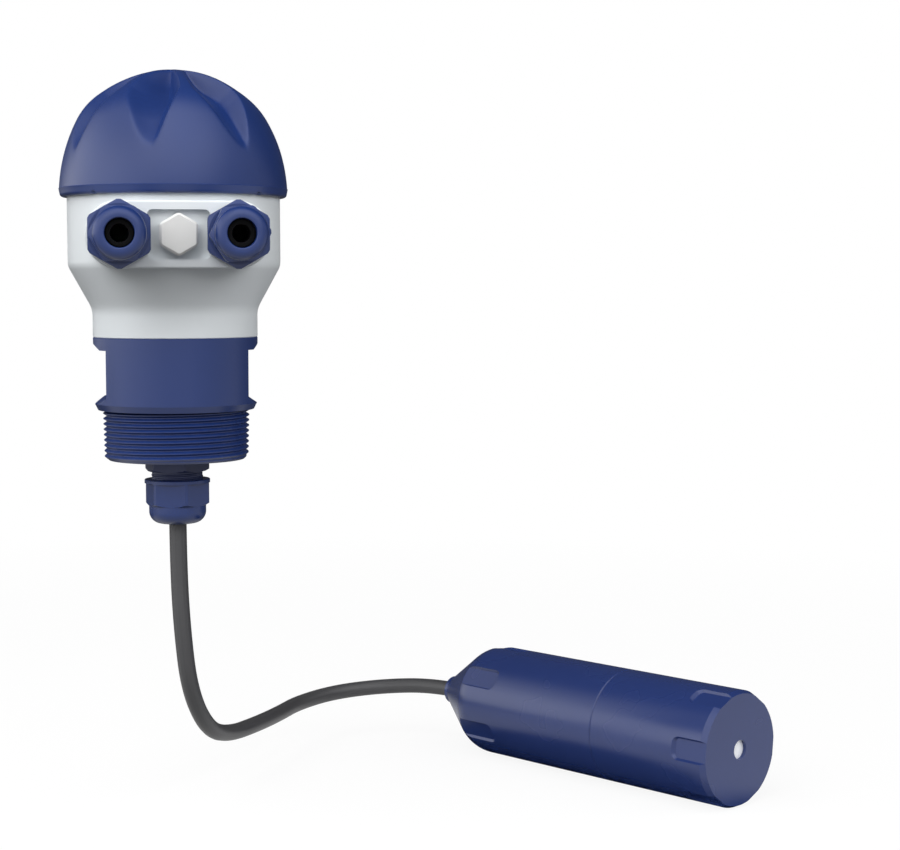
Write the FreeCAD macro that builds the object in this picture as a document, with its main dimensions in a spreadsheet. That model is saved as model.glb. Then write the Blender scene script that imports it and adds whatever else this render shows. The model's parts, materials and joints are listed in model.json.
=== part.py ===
import FreeCAD
import Part
import Sketcher
import math
import os
from FreeCAD import Placement, Rotation, Vector

doc = FreeCAD.newDocument("level_sensor")
tolerance = 1e-3
hex_sides = 6
sheet = doc.addObject("Spreadsheet::Sheet", "Sizes")

# Lengths in mm and angles in degrees. Heights run up from the pipe thread's start.
sizes = {
    # shared: how far a cut runs past the piece, and how much of the shorter run a bend takes up
    "cut_margin": 1.0,
    "bend_share": 0.45,
    # process adapter; its taper thread is drawn at the root
    "thread_root_r": 28.7,
    "thread_length": 20.7,
    "thread_lead_in": 0.8,
    "thread_wall": 3.7,
    "flange_foot": 3.3,
    "flange_bevel": 1.3,
    "flange_edge_z": 2.6,
    "collar_draft": 0.4,
    "collar_top_z": 29.8,
    "flat_depth": 5.05,
    "flat_low_z": 5.0,
    "flat_high_z": 24.7,
    "flat_top_land": 2.5,
    "flat_top_bevel": 4.2,
    "flat_foot_land": 0.5,
    "flat_foot_run": 4.6,
    "flat_foot_fall": 3.0,
    "adapter_web": 8.0,
    "spigot_length": 10.2,
    "spigot_clearance": 0.1,
    "spigot_chamfer": 0.8,
    "groove_rise": 4.0,
    "groove_width": 3.2,
    "groove_depth": 2.0,
    "seal_gap": 0.05,
    # housing
    "neck_wall": 3.2,
    "neck_height": 11.5,
    "neck_bore_rise": 2.7,
    "cone_height": 17.6,
    "cone_round_high": 7.0,
    "cone_round_low": 10.0,
    "barrel_r": 43.35,
    "barrel_height": 29.1,
    "mouth_step": 2.65,
    "mouth_wall": 2.8,
    "mouth_height": 12.0,
    "mouth_chamfer": 0.8,
    "ledge_rise": 14.7,
    "ledge_width": 2.0,
    "seam_break": 0.3,
    # front pad with its two cable glands and the vent plug between them
    "pad_proud": 3.65,
    "pad_half_height": 13.2,
    "pad_edge_round": 0.9,
    "gland_x": 22.9,
    "gland_rise": 11.9,
    "bore_clearance": 0.1,
    "bore_end_y": 4.0,
    "recess_half_width": 12.2,
    "recess_half_height": 9.7,
    "recess_depth": 3.6,
    "recess_corner": 2.2,
    "plug_flats": 14.8,
    "plug_corner_r": 8.2,
    "plug_head": 6.2,
    "plug_edge": 0.8,
    "plug_shank_r": 5.9,
    "plug_shank": 6.4,
    "plug_groove": 2.0,
    "plug_groove_depth": 1.2,
    "plug_vent_r": 2.0,
    "plug_crown": 2.5,
    # screw cap
    "cap_overhang": 3.25,
    "cap_overlap": 1.1,
    "cap_band": 3.6,
    "cap_band_step": 0.2,
    "cap_foot_draw": 0.4,
    "cap_edge_round": 1.4,
    "cap_draft": 3.3,
    "cap_side_angle": 26.7,
    "cap_shoulder_angle": 51.8,
    "cap_side_r": 69.5,
    "cap_shoulder_r": 31.4,
    "cap_wall": 2.8,
    "cap_room_lead": 0.6,
    "cap_skirt_gap": 0.45,
    "cap_thread_gap": 0.35,
    "cap_headroom": 2.0,
    "cap_seal_r": 1.3,
    "scoop_count": 7,
    "scoop_azimuth": -103.0,
    "scoop_long_r": 15.0,
    "scoop_short_r": 6.4,
    "scoop_lean": 18.0,
    "scoop_shift": 5.9,
    "scoop_sweep_r": 140.8,
    "scoop_inset": 110.1,
    "scoop_drop": 57.1,
    "scoop_edge_round": 2.2,
    "scoop_sweep": 95.0,
    "ridge_turn": 19.5,
    "notch_count": 4,
    "notch_azimuth": 45.0,
    "notch_width": 2.2,
    "notch_height": 1.3,
    # glands: what both kinds share
    "gasket": 0.8,
    "gasket_inset": 0.3,
    "gland_chamfer": 0.8,
    "hex_bevel": 1.6,
    "hex_bevel_rise": 0.9,
    "throat_step": 1.8,
    "seat_depth": 7.4,
    "gland_gap": 0.2,
    "nut_thread_gap": 0.3,
    "seal_flange": 1.4,
    "seal_cone": 1.8,
    "seal_cone_wall": 1.5,
    "nut_ring": 1.5,
    "nut_roof_gap": 0.3,
    "nut_roof_rise": 2.2,
    "nut_bevel": 1.0,
    "mouth_round": 0.6,
    # front cable glands
    "front_flats": 24.0,
    "front_corner": 1.4,
    "front_hex": 5.0,
    "front_neck_r": 9.0,
    "front_neck_wall": 2.6,
    "front_neck_end": 15.5,
    "front_shank_r": 9.9,
    "front_shank": 13.0,
    "front_nut_start": 7.2,
    "front_nut_hex_end": 16.4,
    "front_nut_end": 24.5,
    "front_nut_wall": 1.15,
    "front_nut_corner": 1.25,
    "front_nut_ring": -0.05,
    "front_dome_step": -0.25,
    "front_dome_round": 3.4,
    "front_seal_r": 3.5,
    "front_mouth_r": 5.6,
    "left_body_spin": 0.0,
    "left_nut_spin": 30.0,
    "right_body_spin": 0.0,
    "right_nut_spin": 34.0,
    # bottom cable gland
    "lower_flats": 24.0,
    "lower_corner": 1.6,
    "lower_hex": 4.2,
    "lower_neck_r": 10.4,
    "lower_neck_wall": 2.9,
    "lower_neck_end": 17.3,
    "lower_shank_r": 9.9,
    "lower_shank": 9.0,
    "lower_nut_start": 8.4,
    "lower_nut_hex_end": 19.2,
    "lower_nut_end": 26.8,
    "lower_nut_wall": 1.1,
    "lower_nut_corner": 1.5,
    "lower_nut_ring": 1.7,
    "lower_dome_step": -0.05,
    "lower_dome_round": 5.0,
    "bottom_body_spin": 48.5,
    "bottom_nut_spin": 46.0,
    # cable
    "cable_r": 3.6,
    "cable_clearance": 0.3,
    "cable_room": 0.8,
    "cable_grip": 0.05,
    "cable_joint_rise": 6.5,
    "cable_straight": 23.0,
    "cable_tail_lead": 13.0,
    "cable_tail_depth": 5.0,
    "jacket_drop": 8.0,
    "core_r": 0.9,
    "core_side": 1.7,
    "core_grip": 5.0,
    "air_tube_r": 1.1,
    "air_tube_side": 2.3,
    "air_tube_reach": 10.0,
    "air_tube_bend": 2.0,
    "air_tube_rise": 14.0,
    # inside of the head
    "board_thickness": 1.6,
    "board_gap": 0.3,
    "board_hole_r": 6.0,
    "block_inner_x": 10.0,
    "block_width": 12.0,
    "block_length": 26.0,
    "block_height": 11.0,
    "entry_r": 1.6,
    "entry_rise": 4.0,
    "entry_share": 0.6,
    "well_r": 2.2,
    "well_depth": 4.0,
    # probe, lengths from the tail tip
    "probe_r": 25.2,
    "probe_wall": 5.4,
    "probe_length": 172.9,
    "nose_length": 62.9,
    "probe_tail_x": 135.77,
    "probe_tail_y": 109.1,
    "probe_axis_z": -146.0,
    "probe_yaw": 34.7,
    "boss_wall": 2.9,
    "boss_length": 2.4,
    "boss_chamfer": 0.8,
    "tail_fall": 3.0,
    "tail_cone_end": 25.0,
    "shoulder_end": 34.0,
    "probe_bore_start": 34.0,
    "tail_seal_wall": 3.6,
    "tail_seal_start": 8.0,
    "tail_seal_end": 26.0,
    "tail_fit": 0.1,
    "tail_gap": 0.2,
    "grommet_length": 10.0,
    "clamp_inset": 1.5,
    "joint_break": 0.4,
    "face_chamfer_run": 2.6,
    "face_chamfer": 1.2,
    "port_r": 4.2,
    "port_depth": 1.6,
    "cell_bore_r": 9.6,
    "cell_bore_depth": 24.9,
    "cell_cone": 3.0,
    "nose_wall": 4.0,
    "nose_spigot": 13.5,
    "nose_fit": 0.1,
    "nose_groove_start": 5.0,
    "nose_groove": 3.0,
    "nose_groove_depth": 1.9,
    "slot_count": 6,
    "slot_length": 16.0,
    "slot_width": 8.4,
    "slot_depth": 1.5,
    "slot_corner": 2.0,
    "slot_bevel": 40.0,
    "slot_tail_end": 47.9,
    "slot_tail_run": 12.0,
    "slot_face_run": 6.0,
    "tail_turn": -5.5,
    "nose_turn": 24.5,
    "cell_thickness": 6.4,
    "cell_fit": 0.3,
    "cell_front_r": 7.0,
    "cell_step": 2.7,
    "ring_thickness": 4.0,
    "ring_fit": 0.1,
    "ring_hole_r": 5.0,
    "probe_board_gap": 0.5,
    "probe_board_lead": 2.0,
    "probe_board_end": 2.5,
    "module_lead": 12.0,
    "module_width": 20.0,
    "module_height": 8.0,
    "module_share": 0.5,
    "ribbon_width": 8.0,
    "ribbon_thickness": 0.4,
    "ribbon_lap": 4.0,
}

for row, (name, number) in enumerate(sizes.items(), 1):
    sheet.set(f"A{row}", name)
    sheet.set(f"B{row}", str(number))
    sheet.setAlias(f"B{row}", name)
doc.recompute()


# A number that also knows its expression in the sheet's terms.
class Size:
    def __init__(self, value, text):
        self.value = float(value)
        self.text = text

    def __add__(self, other):
        return joined(self, "+", other, self.value + number_of(other))

    def __radd__(self, other):
        return joined(other, "+", self, number_of(other) + self.value)

    def __sub__(self, other):
        return joined(self, "-", other, self.value - number_of(other))

    def __rsub__(self, other):
        return joined(other, "-", self, number_of(other) - self.value)

    def __mul__(self, other):
        return joined(self, "*", other, self.value * number_of(other))

    def __truediv__(self, other):
        return joined(self, "/", other, self.value / number_of(other))

    def __neg__(self):
        return self * -1


def number_of(item):
    return item.value if isinstance(item, Size) else float(item)


def text_of(item):
    return item.text if isinstance(item, Size) else repr(float(item))


def joined(left, sign, right, value):
    return Size(value, f"({text_of(left)} {sign} {text_of(right)})")


def size(name):
    return Size(sizes[name], f"Sizes.{name}")


def sin_of(angle):
    return Size(math.sin(math.radians(angle.value)), f"sin({angle.text})")


def cos_of(angle):
    return Size(math.cos(math.radians(angle.value)), f"cos({angle.text})")


def bind(item, name, amount):
    if isinstance(amount, Size):
        item.setExpression(name, amount.text)


def set_size(item, name, amount):
    setattr(item, name, number_of(amount))
    bind(item, name, amount)


def place(item, base, turn):
    spot = Vector(*[number_of(part) for part in base])
    item.Placement = Placement(spot, turn or Rotation())
    for axis, part in zip("xyz", base):
        bind(item, f"Placement.Base.{axis}", part)


def new_body(label, base=(0, 0, 0), turn=None):
    body = doc.addObject("PartDesign::Body", label)
    body.Label = label
    place(body, base, turn)
    return body


def plane_of(body, role):
    for item in body.Origin.OriginFeatures:
        if item.Role == role:
            return item
    raise ValueError(role)


# A sketch on one of the body's planes, lifted off it and turned about the body's Z axis.
def new_sketch(body, name, role, offset=0, spin=0):
    sketch = body.newObject("Sketcher::SketchObject", f"{body.Label}_{name}")
    sketch.AttachmentSupport = [(plane_of(body, role), "")]
    sketch.MapMode = "FlatFace"
    lift = Vector(0, 0, number_of(offset))
    upright = Vector(0, 0, 1) if role == "XY_Plane" else Vector(0, 1, 0)
    sketch.AttachmentOffset = Placement(lift, Rotation(upright, number_of(spin)))
    bind(sketch, "AttachmentOffset.Base.z", offset)
    return sketch


def arc_middle(start, end, radius, side):
    chord = end - start
    half = chord.Length / 2
    rise = radius - math.sqrt(max(radius * radius - half * half, 0))
    across = Vector(-chord.y, chord.x, 0).normalize()
    return start + chord * 0.5 + across * (side * rise)


def pin_point(sketch, spot, item, end):
    for kind, axis, part in (("DistanceX", -2, spot[0]), ("DistanceY", -1, spot[1])):
        if number_of(part) == 0:
            sketch.addConstraint(Sketcher.Constraint("PointOnObject", item, end, axis))
        else:
            rule = Sketcher.Constraint(kind, -1, 1, item, end, number_of(part))
            index = sketch.addConstraint(rule)
            bind(sketch, f"Constraints[{index}]", part)


# A closed outline. A corner is (x, y), or (x, y, radius, side) where an arc leads to it.
def outline(sketch, corners):
    spots = [Vector(number_of(c[0]), number_of(c[1]), 0) for c in corners]
    ends = []
    for index, corner in enumerate(corners):
        start, end = spots[index - 1], spots[index]
        if len(corner) == 2:
            item = sketch.addGeometry(Part.LineSegment(start, end), False)
        else:
            middle = arc_middle(start, end, number_of(corner[2]), corner[3])
            item = sketch.addGeometry(Part.Arc(start, middle, end), False)
        flipped = (sketch.getPoint(item, 1) - start).Length > tolerance
        ends.append((item, 2, 1) if flipped else (item, 1, 2))
    for index, corner in enumerate(corners):
        item, _, last = ends[index]
        after, first, _ = ends[(index + 1) % len(corners)]
        sketch.addConstraint(Sketcher.Constraint("Coincident", item, last, after, first))
        pin_point(sketch, corner, item, last)
        if len(corner) == 4:
            rule = sketch.addConstraint(Sketcher.Constraint("Radius", item, number_of(corner[2])))
            bind(sketch, f"Constraints[{rule}]", corner[2])


def circle(sketch, x, y, radius):
    shape = Part.Circle(Vector(number_of(x), number_of(y), 0), Vector(0, 0, 1), number_of(radius))
    item = sketch.addGeometry(shape, False)
    rule = sketch.addConstraint(Sketcher.Constraint("Radius", item, number_of(radius)))
    bind(sketch, f"Constraints[{rule}]", radius)
    pin_point(sketch, (x, y), item, 3)


# An ellipse whose long axis leans over from the sketch's Y axis.
def ellipse(sketch, centre, long_r, short_r, lean):
    far_x = long_r * sin_of(lean)
    far_y = long_r * cos_of(lean)
    first = (centre[0] + far_x, centre[1] - far_y)
    last = (centre[0] - far_x, centre[1] + far_y)
    middle = Vector(number_of(centre[0]), number_of(centre[1]), 0)
    tip = Vector(number_of(first[0]), number_of(first[1]), 0)
    along = (tip - middle).normalize()
    side = middle + Vector(-along.y, along.x, 0) * number_of(short_r)
    item = sketch.addGeometry(Part.Ellipse(tip, side, middle), False)
    sketch.exposeInternalGeometry(item)
    long_axis, short_axis = item + 1, item + 2
    flipped = (sketch.getPoint(long_axis, 1) - tip).Length > tolerance
    pin_point(sketch, first, long_axis, 2 if flipped else 1)
    pin_point(sketch, last, long_axis, 1 if flipped else 2)
    rule = sketch.addConstraint(Sketcher.Constraint("Distance", short_axis, number_of(short_r) * 2))
    bind(sketch, f"Constraints[{rule}]", short_r * 2)


def box_outline(left, right, low, high):
    return [(right, low), (right, high), (left, high), (left, low)]


def rounded_box(left, right, low, high, corner):
    return [
        (right - corner, low),
        (right, low + corner, corner, -1),
        (right, high - corner),
        (right - corner, high, corner, -1),
        (left + corner, high),
        (left, high - corner, corner, -1),
        (left, low + corner),
        (left + corner, low, corner, -1),
    ]


def feature(body, kind, name, sketch):
    item = body.newObject(f"PartDesign::{kind}", f"{body.Label}_{name}")
    item.Profile = sketch
    return item


def revolve(body, name, corners, kind="Revolution", spin=0):
    sketch = new_sketch(body, f"{name}_outline", "XZ_Plane", 0, spin)
    outline(sketch, corners)
    item = feature(body, kind, name, sketch)
    item.ReferenceAxis = (sketch, ["V_Axis"])
    item.Angle = 360
    doc.recompute()
    return item


def turned(label, corners, base=(0, 0, 0), turn=None, spin=0):
    body = new_body(label, base, turn)
    revolve(body, "turning", corners, spin=spin)
    return body


def pad(body, name, sketch, length):
    item = feature(body, "Pad", name, sketch)
    set_size(item, "Length", length)
    doc.recompute()
    return item


# Turns a cut round if it took less than this much off, in cubic mm.
def cut_into(body, item, before, least=0.01):
    doc.recompute()
    if not body.Shape.isValid() or body.Shape.Volume > before - least:
        item.Reversed = not item.Reversed
        doc.recompute()
    if body.Shape.Volume > before - least:
        raise ValueError(f"{item.Name} takes nothing off")
    return item


def pocket(body, name, sketch, length, both=False, away=False):
    before = body.Shape.Volume
    item = feature(body, "Pocket", name, sketch)
    set_size(item, "Length", length)
    item.Reversed = away
    if both:
        item.SideType = "Symmetric"
    return cut_into(body, item, before)


def polar(body, name, original, count):
    item = body.newObject("PartDesign::PolarPattern", f"{body.Label}_{name}")
    item.Originals = [original]
    axis = [part for part in body.Origin.OriginFeatures if part.Role == "Z_Axis"][0]
    item.Axis = (axis, [""])
    item.Angle = 360
    body.Tip = item
    item.Occurrences = int(number_of(count))
    bind(item, "Occurrences", count)
    doc.recompute()
    return item


# The round edges of the given radius and height, in the body's own frame.
def ring_edges(shape, radius, height):
    names = []
    for index, edge in enumerate(shape.Edges, 1):
        if edge.Degenerated or not isinstance(edge.Curve, Part.Circle):
            continue
        curve = edge.Curve
        level = abs(curve.Center.z - number_of(height)) < tolerance
        if level and abs(curve.Radius - number_of(radius)) < tolerance:
            names.append(f"Edge{index}")
    if not names:
        raise ValueError("no such edge")
    return names


def fillet(body, name, edges, radius):
    last = body.Tip
    item = body.newObject("PartDesign::Fillet", f"{body.Label}_{name}")
    item.Base = (last, edges)
    set_size(item, "Radius", radius)
    body.Tip = item
    doc.recompute()
    return item


# The edges that lie level at the given height, in the body's own frame.
def level_edges(shape, height):
    names = []
    for index, edge in enumerate(shape.Edges, 1):
        box = edge.BoundBox
        if max(abs(box.ZMin - number_of(height)), abs(box.ZMax - number_of(height))) < tolerance:
            names.append(f"Edge{index}")
    return names


def chamfer(body, name, edges, amount):
    last = body.Tip
    item = body.newObject("PartDesign::Chamfer", f"{body.Label}_{name}")
    item.Base = (last, edges)
    set_size(item, "Size", amount)
    body.Tip = item
    doc.recompute()
    return item


def round_ring(body, name, radius, height, amount):
    return fillet(body, name, ring_edges(body.Tip.Shape, radius, height), amount)


# Six flats on a round blank between two heights. The spin turns the first flat's normal from X.
def hex_flats(body, name, flats, low, high, reach, spin=0):
    before = body.Shape.Volume
    sketch = new_sketch(body, f"{name}_outline", "XY_Plane", low, spin)
    outline(sketch, box_outline(flats / 2, flats / 2 + reach, -reach, reach))
    cut = feature(body, "Pocket", name, sketch)
    set_size(cut, "Length", high - low)
    cut.Reversed = True
    cut_into(body, cut, before)
    return polar(body, f"{name}_round", cut, hex_sides)


def o_ring(label, radius, section, base, turn=None):
    ring = doc.addObject("Part::Torus", label)
    ring.Label = label
    set_size(ring, "Radius1", radius)
    set_size(ring, "Radius2", section)
    place(ring, base, turn)
    return ring


# Ring and section radius of a seal that fills the room between a groove's floor and its bore.
def seal_in_groove(floor_r, bore_r):
    section = (bore_r - floor_r) / 2 - size("seal_gap")
    return (floor_r + bore_r) / 2, section


def block(label, length, width, height, base, turn=None):
    item = doc.addObject("Part::Box", label)
    item.Label = label
    set_size(item, "Length", length)
    set_size(item, "Width", width)
    set_size(item, "Height", height)
    place(item, base, turn)
    return item


def rod(label, radius, length, base, turn=None):
    item = doc.addObject("Part::Cylinder", label)
    item.Label = label
    set_size(item, "Radius", radius)
    set_size(item, "Height", length)
    place(item, base, turn)
    return item


# Straight runs joined by tangent arcs, each as wide as the shorter run beside it allows.
def route(points):
    edges = []
    radii = []
    last = points[0]
    for before, corner, after in zip(points, points[1:], points[2:]):
        into = corner - before
        out = after - corner
        cut = sizes["bend_share"] * min(into.Length, out.Length)
        turn = into.getAngle(out)
        radii.append(cut / math.tan(turn / 2))
        start = corner - into.normalize() * cut
        end = corner + out.normalize() * cut
        bisector = (end - corner).normalize() + (start - corner).normalize()
        gap = radii[-1] / math.cos(turn / 2) - radii[-1]
        middle = corner + bisector.normalize() * gap
        edges.append(Part.makeLine(last, start))
        edges.append(Part.Arc(start, middle, end).toShape())
        last = end
    edges.append(Part.makeLine(last, points[-1]))
    return Part.Wire(edges), radii


def tube(label, radius, points):
    wire, radii = route(points)
    spine = doc.addObject("Part::Feature", f"{label}_route")
    spine.Shape = wire
    section = doc.addObject("Part::Circle", f"{label}_section")
    set_size(section, "Radius", radius)
    section.Placement = Placement(points[0], Rotation(Vector(0, 0, 1), points[1] - points[0]))
    item = doc.addObject("Part::Sweep", label)
    item.Label = label
    item.Sections = [section]
    item.Spine = (spine, [f"Edge{index + 1}" for index in range(len(wire.Edges))])
    item.Solid = True
    item.Frenet = False
    item.Transition = "Transformed"
    doc.recompute()
    full = math.pi * number_of(radius) ** 2 * wire.Length
    rounded = [round(r, 1) for r in radii]
    print(f"{label}: {wire.Length:.1f} mm, volume share {item.Shape.Volume / full:.4f}, radii {rounded}")
    return item


nodes = []

# Radii and heights shared by the head's pieces.
margin = size("cut_margin")
thread_r = size("thread_root_r")
thread = size("thread_length")
flange_r = thread_r + size("flange_foot") + size("flange_bevel")
collar_r = flange_r + size("collar_draft")
collar_top = size("collar_top_z")
neck_bore = collar_r - size("neck_wall")
spigot_r = neck_bore - size("spigot_clearance")
neck_top = collar_top + size("neck_height")
barrel_r = size("barrel_r")
barrel_low = neck_top + size("cone_height")
shoulder_z = barrel_low + size("barrel_height")
mouth_r = barrel_r - size("mouth_step")
mouth_top = shoulder_z + size("mouth_height")
chamber_r = mouth_r - size("mouth_wall")
ledge_z = neck_top + size("ledge_rise")
cap_rim_r = barrel_r + size("cap_overhang")
cap_low = shoulder_z - size("cap_overlap")
lower_hole = size("lower_shank_r") + size("bore_clearance")

# Process adapter, turned from its thread's lower end up, with two wrench flats.
adapter_bore = thread_r - size("thread_wall")
adapter_top = thread + collar_top
spigot_top = adapter_top + size("spigot_length")
groove_low = adapter_top + size("groove_rise")
groove_high = groove_low + size("groove_width")
groove_r = spigot_r - size("groove_depth")
adapter = turned(
    "process_adapter",
    [
        (lower_hole, 0),
        (thread_r - size("thread_lead_in"), 0),
        (thread_r, size("thread_lead_in")),
        (thread_r, thread),
        (thread_r + size("flange_foot"), thread),
        (flange_r, thread + size("flange_edge_z")),
        (collar_r, adapter_top - size("seam_break")),
        (collar_r - size("seam_break"), adapter_top),
        (spigot_r, adapter_top),
        (spigot_r, groove_low),
        (groove_r, groove_low),
        (groove_r, groove_high),
        (spigot_r, groove_high),
        (spigot_r, spigot_top - size("spigot_chamfer")),
        (spigot_r - size("spigot_chamfer"), spigot_top),
        (adapter_bore, spigot_top),
        (adapter_bore, size("adapter_web")),
        (lower_hole, size("adapter_web")),
    ],
    base=(0, 0, -thread),
)
flat_x = collar_r - size("flat_depth")
flat_low = thread + size("flat_low_z")
flat_high = thread + size("flat_high_z")
bevel_x = flat_x + size("flat_top_land")
bevel = size("flat_top_bevel")
foot_x = flat_x + size("flat_foot_land")
foot_end = foot_x + size("flat_foot_run")
outside_x = bevel_x + bevel + margin
flat_sketch = new_sketch(adapter, "flat_outline", "XZ_Plane")
outline(
    flat_sketch,
    [
        (flat_x, flat_high),
        (bevel_x, flat_high),
        (bevel_x + bevel, flat_high + bevel),
        (outside_x, flat_high + bevel),
        (outside_x, flat_low - size("flat_foot_fall")),
        (foot_end, flat_low - size("flat_foot_fall")),
        (foot_x, flat_low),
        (flat_x, flat_low),
    ],
)
flat_cut = pocket(adapter, "flat", flat_sketch, (collar_r + margin) * 2, both=True)
polar(adapter, "flats", flat_cut, 2)
nodes.append(adapter)
adapter_seal = seal_in_groove(groove_r, neck_bore)
adapter_seal_z = (groove_low + groove_high) / 2 - thread
nodes.append(o_ring("adapter_o_ring", *adapter_seal, (0, 0, adapter_seal_z)))

# Housing: a turned shell with a stadium pad on the front, drawn before it is hollowed.
pad_face = barrel_r + size("pad_proud")
pad_half = size("pad_half_height")
pad_z = barrel_low + size("gland_rise")
side = size("gland_x")
seam_break = size("seam_break")
housing = new_body("housing")
revolve(
    housing,
    "outside",
    [
        (0, collar_top),
        (collar_r - seam_break, collar_top),
        (collar_r, collar_top + seam_break),
        (collar_r, neck_top),
        (barrel_r, barrel_low),
        (barrel_r, shoulder_z),
        (mouth_r, shoulder_z),
        (mouth_r, mouth_top - size("mouth_chamfer")),
        (mouth_r - size("mouth_chamfer"), mouth_top),
        (0, mouth_top),
    ],
)
round_ring(housing, "cone_top", barrel_r, barrel_low, size("cone_round_high"))
round_ring(housing, "cone_foot", collar_r, neck_top, size("cone_round_low"))
pad_sketch = new_sketch(housing, "pad_outline", "XZ_Plane")
outline(
    pad_sketch,
    [
        (side, pad_z - pad_half),
        (side + pad_half, pad_z, pad_half, -1),
        (side, pad_z + pad_half, pad_half, -1),
        (-side, pad_z + pad_half),
        (-side - pad_half, pad_z, pad_half, -1),
        (-side, pad_z - pad_half, pad_half, -1),
    ],
)
pad(housing, "pad", pad_sketch, pad_face)
pad_edges = []
for index, edge in enumerate(housing.Tip.Shape.Edges, 1):
    box = edge.BoundBox
    if max(abs(box.YMin + pad_face.value), abs(box.YMax + pad_face.value)) < tolerance:
        pad_edges.append(f"Edge{index}")
fillet(housing, "pad_edge", pad_edges, size("pad_edge_round"))
revolve(
    housing,
    "hollow",
    [
        (0, collar_top - margin),
        (neck_bore, collar_top - margin),
        (neck_bore, neck_top + size("neck_bore_rise")),
        (chamber_r - size("ledge_width"), ledge_z),
        (chamber_r, ledge_z),
        (chamber_r, mouth_top + margin),
        (0, mouth_top + margin),
    ],
    kind="Groove",
)
recess_sketch = new_sketch(housing, "recess_outline", "XZ_Plane", pad_face)
outline(
    recess_sketch,
    rounded_box(
        -size("recess_half_width"),
        size("recess_half_width"),
        pad_z - size("recess_half_height"),
        pad_z + size("recess_half_height"),
        size("recess_corner"),
    ),
)
pocket(housing, "recess", recess_sketch, size("recess_depth"))
bore_sketch = new_sketch(housing, "bore_outline", "XZ_Plane", pad_face)
front_hole = size("front_shank_r") + size("bore_clearance")
plug_hole = size("plug_shank_r") + size("bore_clearance")
circle(bore_sketch, side, pad_z, front_hole)
circle(bore_sketch, -side, pad_z, front_hole)
circle(bore_sketch, 0, pad_z, plug_hole)
pocket(housing, "bores", bore_sketch, pad_face - size("bore_end_y"))
nodes.append(housing)

# Screw cap. The scooped dome is cut from a solid and hollowed by the same dome, one wall smaller.
draft = size("cap_draft")
low_angle = size("cap_side_angle")
high_angle = size("cap_shoulder_angle")
band_top = cap_low + size("cap_band")
dome_r = cap_rim_r - size("cap_band_step")
scoop_azimuth = size("scoop_azimuth")
ridge_azimuth = scoop_azimuth + size("ridge_turn")


# The dome's first point, and its three tangent arcs up to the apex.
def dome_corners(wall):
    side_r = size("cap_side_r") - wall
    shoulder_r = size("cap_shoulder_r") - wall
    start = (dome_r - wall * cos_of(draft), band_top - wall * sin_of(draft))
    middle = (
        start[0] - side_r * (cos_of(draft) - cos_of(low_angle)),
        start[1] + side_r * (sin_of(low_angle) - sin_of(draft)),
    )
    top = (
        middle[0] - shoulder_r * (cos_of(low_angle) - cos_of(high_angle)),
        middle[1] + shoulder_r * (sin_of(high_angle) - sin_of(low_angle)),
    )
    crown_r = top[0] / cos_of(high_angle)
    apex = (0, top[1] + crown_r * (1 - sin_of(high_angle)))
    arcs = [middle + (side_r, -1), top + (shoulder_r, -1), apex + (crown_r, -1)]
    return start, arcs


# Scoops swept round a low axis by a leaning ellipse: a soft slope on one side, a steep one on the other.
def scoops(body, wall):
    before = body.Shape.Volume
    long_r = size("scoop_long_r")
    centre_r = cap_rim_r - size("scoop_inset")
    level = cap_low - size("scoop_drop")
    sketch = new_sketch(body, "scoop_outline", "XY_Plane", level, scoop_azimuth)
    ends = [Vector(centre_r.value, -long_r.value, 0), Vector(centre_r.value, long_r.value, 0)]
    axis = sketch.addGeometry(Part.LineSegment(*ends), True)
    pin_point(sketch, (centre_r, -long_r), axis, 1)
    pin_point(sketch, (centre_r, long_r), axis, 2)
    spot = (centre_r + size("scoop_sweep_r"), -size("scoop_shift"))
    ellipse(sketch, spot, long_r + wall, size("scoop_short_r") + wall, size("scoop_lean"))
    cut = feature(body, "Groove", "scoop", sketch)
    cut.ReferenceAxis = (sketch, ["Axis0"])
    set_size(cut, "Angle", size("scoop_sweep"))
    cut_into(body, cut, before, least=50)
    return polar(body, "scoops", cut, size("scoop_count"))


no_wall = Size(0, "0.0")
shell_start, shell_arcs = dome_corners(no_wall)
cap_foot_r = cap_rim_r - size("cap_foot_draw")
cap_solid = turned(
    "cap_outside",
    [
        (0, cap_low),
        (cap_foot_r, cap_low),
        (cap_rim_r, band_top - size("cap_band_step")),
        shell_start,
    ]
    + shell_arcs,
    spin=ridge_azimuth,
)
round_ring(cap_solid, "edge", cap_foot_r, cap_low, size("cap_edge_round"))
scoops(cap_solid, no_wall)
scoop_edges = []
for index, edge in enumerate(cap_solid.Tip.Shape.Edges, 1):
    if not edge.Degenerated and isinstance(edge.Curve, Part.BSplineCurve):
        scoop_edges.append(f"Edge{index}")
fillet(cap_solid, "scoop_edge", scoop_edges, size("scoop_edge_round"))
notch_sketch = new_sketch(cap_solid, "notch_outline", "XZ_Plane", 0, size("notch_azimuth"))
notch_half = size("notch_width") / 2
notch_top = cap_low + size("notch_height")
outline(notch_sketch, box_outline(-notch_half, notch_half, cap_low - margin, notch_top))
notch = pocket(cap_solid, "notch", notch_sketch, cap_rim_r + margin)
polar(cap_solid, "notches", notch, size("notch_count"))

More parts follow.
